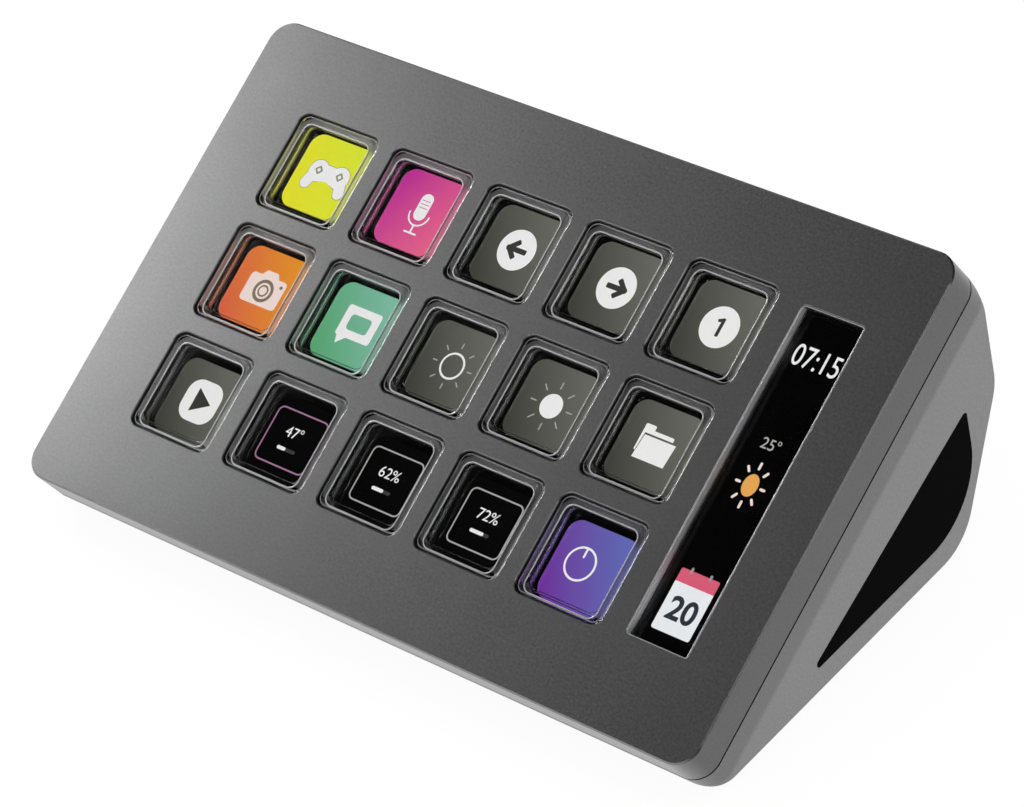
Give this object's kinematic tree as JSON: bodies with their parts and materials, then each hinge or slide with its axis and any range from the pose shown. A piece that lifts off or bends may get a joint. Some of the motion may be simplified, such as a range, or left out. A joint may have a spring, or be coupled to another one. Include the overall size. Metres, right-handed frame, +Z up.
{
  "type": "display keypad",
  "caption": "Wedge-shaped desk keypad with clear push keys over one display and a tall strip display beside them.",
  "frame": {"origin": "below the middle of the bounding box, on the surface the feet stand on", "axes": "+X to the right as the user sees the face, +Y from the front edge to the back, +Z up"},
  "size_m": [0.1328, 0.0751, 0.0475],
  "materials": {
    "silver_case": "satin, silver grey",
    "clear_keys": "clear, polished",
    "clear_strip": "clear, polished",
    "black_panel": "fine grain, black",
    "black_guide": "matte black",
    "silicone": "soft matte",
    "circuit_board": "green solder mask",
    "display": "polished",
    "backlight": "white",
    "tray": "dark grey",
    "steel": "plain",
    "ribbon": "amber film",
    "connector": "ivory",
    "chip": "black",
    "rubber_feet": "matte black"
  },
  "bodies": {
    "case": {"front_shell": "silver_case", "back_shell": "silver_case", "side_panel_right": "black_panel", "side_panel_left": "black_panel", "strip_window": "clear_strip", "key_guide": "black_guide", "dome_sheet": "silicone", "contact_board": "circuit_board", "display_glass": "display", "backlight": "backlight", "display_tray": "tray", "tray_screws": "steel", "shell_screws": "steel", "board_screws": "steel", "main_board": "circuit_board", "usb_socket": "steel", "display_ribbon": "ribbon", "contact_ribbon": "ribbon", "display_connector": "connector", "contact_connector": "connector", "processor_chip": "chip", "memory_chip": "chip", "foot_front_left": "rubber_feet", "foot_front_right": "rubber_feet", "foot_back_left": "rubber_feet", "foot_back_right": "rubber_feet"},
    "key_r1c1": {"key_r1c1": "clear_keys"},
    "key_r1c2": {"key_r1c2": "clear_keys"},
    "key_r1c3": {"key_r1c3": "clear_keys"},
    "key_r1c4": {"key_r1c4": "clear_keys"},
    "key_r1c5": {"key_r1c5": "clear_keys"},
    "key_r2c1": {"key_r2c1": "clear_keys"},
    "key_r2c2": {"key_r2c2": "clear_keys"},
    "key_r2c3": {"key_r2c3": "clear_keys"},
    "key_r2c4": {"key_r2c4": "clear_keys"},
    "key_r2c5": {"key_r2c5": "clear_keys"},
    "key_r3c1": {"key_r3c1": "clear_keys"},
    "key_r3c2": {"key_r3c2": "clear_keys"},
    "key_r3c3": {"key_r3c3": "clear_keys"},
    "key_r3c4": {"key_r3c4": "clear_keys"},
    "key_r3c5": {"key_r3c5": "clear_keys"}
  },
  "joints": [
    {"name": "press_r1c1", "type": "slide", "parent": "case", "child": "key_r1c1", "axis": [0, 0.4695, -0.8829], "range_m": [0, 0.001], "stiffness_N_per_m": 600, "springref_m": -0.0003},
    {"name": "press_r1c2", "type": "slide", "parent": "case", "child": "key_r1c2", "axis": [0, 0.4695, -0.8829], "range_m": [0, 0.001], "stiffness_N_per_m": 600, "springref_m": -0.0003},
    {"name": "press_r1c3", "type": "slide", "parent": "case", "child": "key_r1c3", "axis": [0, 0.4695, -0.8829], "range_m": [0, 0.001], "stiffness_N_per_m": 600, "springref_m": -0.0003},
    {"name": "press_r1c4", "type": "slide", "parent": "case", "child": "key_r1c4", "axis": [0, 0.4695, -0.8829], "range_m": [0, 0.001], "stiffness_N_per_m": 600, "springref_m": -0.0003},
    {"name": "press_r1c5", "type": "slide", "parent": "case", "child": "key_r1c5", "axis": [0, 0.4695, -0.8829], "range_m": [0, 0.001], "stiffness_N_per_m": 600, "springref_m": -0.0003},
    {"name": "press_r2c1", "type": "slide", "parent": "case", "child": "key_r2c1", "axis": [0, 0.4695, -0.8829], "range_m": [0, 0.001], "stiffness_N_per_m": 600, "springref_m": -0.0003},
    {"name": "press_r2c2", "type": "slide", "parent": "case", "child": "key_r2c2", "axis": [0, 0.4695, -0.8829], "range_m": [0, 0.001], "stiffness_N_per_m": 600, "springref_m": -0.0003},
    {"name": "press_r2c3", "type": "slide", "parent": "case", "child": "key_r2c3", "axis": [0, 0.4695, -0.8829], "range_m": [0, 0.001], "stiffness_N_per_m": 600, "springref_m": -0.0003},
    {"name": "press_r2c4", "type": "slide", "parent": "case", "child": "key_r2c4", "axis": [0, 0.4695, -0.8829], "range_m": [0, 0.001], "stiffness_N_per_m": 600, "springref_m": -0.0003},
    {"name": "press_r2c5", "type": "slide", "parent": "case", "child": "key_r2c5", "axis": [0, 0.4695, -0.8829], "range_m": [0, 0.001], "stiffness_N_per_m": 600, "springref_m": -0.0003},
    {"name": "press_r3c1", "type": "slide", "parent": "case", "child": "key_r3c1", "axis": [0, 0.4695, -0.8829], "range_m": [0, 0.001], "stiffness_N_per_m": 600, "springref_m": -0.0003},
    {"name": "press_r3c2", "type": "slide", "parent": "case", "child": "key_r3c2", "axis": [0, 0.4695, -0.8829], "range_m": [0, 0.001], "stiffness_N_per_m": 600, "springref_m": -0.0003},
    {"name": "press_r3c3", "type": "slide", "parent": "case", "child": "key_r3c3", "axis": [0, 0.4695, -0.8829], "range_m": [0, 0.001], "stiffness_N_per_m": 600, "springref_m": -0.0003},
    {"name": "press_r3c4", "type": "slide", "parent": "case", "child": "key_r3c4", "axis": [0, 0.4695, -0.8829], "range_m": [0, 0.001], "stiffness_N_per_m": 600, "springref_m": -0.0003},
    {"name": "press_r3c5", "type": "slide", "parent": "case", "child": "key_r3c5", "axis": [0, 0.4695, -0.8829], "range_m": [0, 0.001], "stiffness_N_per_m": 600, "springref_m": -0.0003}
  ]
}
